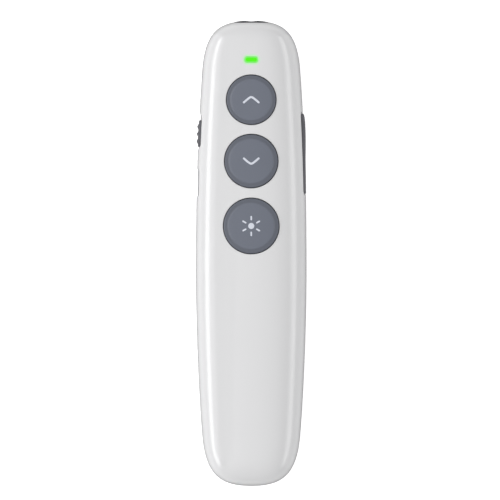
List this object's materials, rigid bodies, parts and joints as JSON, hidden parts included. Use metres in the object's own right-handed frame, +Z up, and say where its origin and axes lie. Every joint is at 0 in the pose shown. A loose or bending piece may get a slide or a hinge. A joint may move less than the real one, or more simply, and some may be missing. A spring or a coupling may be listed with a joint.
{
  "type": "presenter laser pointer",
  "caption": "Slim white wireless presenter with a laser window in its nose, three round keys, side slider and rocker, and a receiver stowed underneath.",
  "frame": {"origin": "centre of the overall box on the surface that the pointer lies on", "axes": "+Y towards the laser end, +Z up out of the keys, +X to the rocker's side"},
  "size_m": [0.0309, 0.1299, 0.0201],
  "materials": {
    "casing_white": "gloss moulded ABS",
    "key_grey": "satin moulded, slate grey",
    "side_key_grey": "satin moulded, dark grey",
    "smoked_window": "smoked, polished",
    "clear_acrylic": "clear, polished",
    "light_guide": "translucent, lit green",
    "brass": "turned",
    "plated_steel": "nickel plated",
    "board_green": "solder mask",
    "black_plastic": "moulded",
    "pouch_foil": "satin laminate",
    "foam_tape": "closed-cell foam",
    "cream_nylon": "moulded",
    "red_lead": "silicone insulation",
    "black_lead": "silicone insulation",
    "chip_ceramic": "fired ceramic"
  },
  "bodies": {
    "casing": {"top_shell": "casing_white", "bottom_shell": "casing_white", "nose_bezel": "smoked_window", "laser_window": "clear_acrylic", "laser_barrel": "brass", "laser_lens": "clear_acrylic", "laser_diode": "plated_steel", "led_light_guide": "light_guide", "status_led": "cream_nylon", "main_board": "board_green", "radio_chip": "black_plastic", "charge_chip": "black_plastic", "crystal": "plated_steel", "chip_antenna": "chip_ceramic", "power_switch_case": "plated_steel", "charge_socket_shell": "plated_steel", "charge_socket_tongue": "black_plastic", "battery_cell": "pouch_foil", "battery_protection_board": "board_green", "battery_tape": "foam_tape", "battery_header": "cream_nylon", "battery_plug": "cream_nylon", "battery_wire_red": "red_lead", "battery_wire_black": "black_lead", "receiver_magnet": "plated_steel", "case_screw_1": "plated_steel", "case_screw_2": "plated_steel", "page_up_switch": "black_plastic", "page_down_switch": "black_plastic", "laser_switch": "black_plastic", "volume_up_switch": "black_plastic", "volume_down_switch": "black_plastic", "board_screw_1": "plated_steel", "board_screw_2": "plated_steel", "board_screw_3": "plated_steel", "board_screw_4": "plated_steel"},
    "page_up_key": {"page_up_button": "key_grey", "page_up_plunger": "black_plastic"},
    "page_down_key": {"page_down_button": "key_grey", "page_down_plunger": "black_plastic"},
    "laser_key": {"laser_button": "key_grey", "laser_plunger": "black_plastic"},
    "power_slider": {"power_knob": "side_key_grey", "power_switch_lever": "black_plastic"},
    "rocker": {"volume_rocker": "side_key_grey"},
    "up_plunger": {"volume_up_plunger": "black_plastic"},
    "down_plunger": {"volume_down_plunger": "black_plastic"},
    "receiver": {"receiver_grip": "black_plastic", "receiver_plug_shell": "plated_steel", "receiver_tongue": "black_plastic"}
  },
  "joints": [
    {"name": "page_up_press", "type": "slide", "parent": "casing", "child": "page_up_key", "axis": [0, 0, -1], "range_m": [0, 0.0004], "stiffness_N_per_m": 1500, "springref_m": -0.0002},
    {"name": "page_down_press", "type": "slide", "parent": "casing", "child": "page_down_key", "axis": [0, 0, -1], "range_m": [0, 0.0004], "stiffness_N_per_m": 1500, "springref_m": -0.0002},
    {"name": "laser_press", "type": "slide", "parent": "casing", "child": "laser_key", "axis": [0, 0, -1], "range_m": [0, 0.0004], "stiffness_N_per_m": 1500, "springref_m": -0.0002},
    {"name": "power_slide", "type": "slide", "parent": "casing", "child": "power_slider", "axis": [0, 1, 0], "range_m": [0, 0.0015]},
    {"name": "volume_rock", "type": "hinge", "parent": "casing", "child": "rocker", "pos_m": [0.01083, 0.0278, 0.012], "axis": [0, 0, 1], "range_deg": [-2, 2], "stiffness_Nm_per_rad": 0.17},
    {"name": "volume_up_press", "type": "slide", "parent": "casing", "child": "up_plunger", "axis": [1, 0, 0], "range_m": [-0.0003, 0.0003]},
    {"name": "volume_down_press", "type": "slide", "parent": "casing", "child": "down_plunger", "axis": [1, 0, 0], "range_m": [-0.0003, 0.0003]},
    {"name": "receiver_lift_out", "type": "slide", "parent": "casing", "child": "receiver", "axis": [0, 0, -1], "range_m": [0, 0.012]}
  ],
  "couplings": [
    {"joint": "volume_up_press", "follows": "volume_rock", "m_per_rad": -0.0075},
    {"joint": "volume_down_press", "follows": "volume_rock", "m_per_rad": 0.0075}
  ]
}
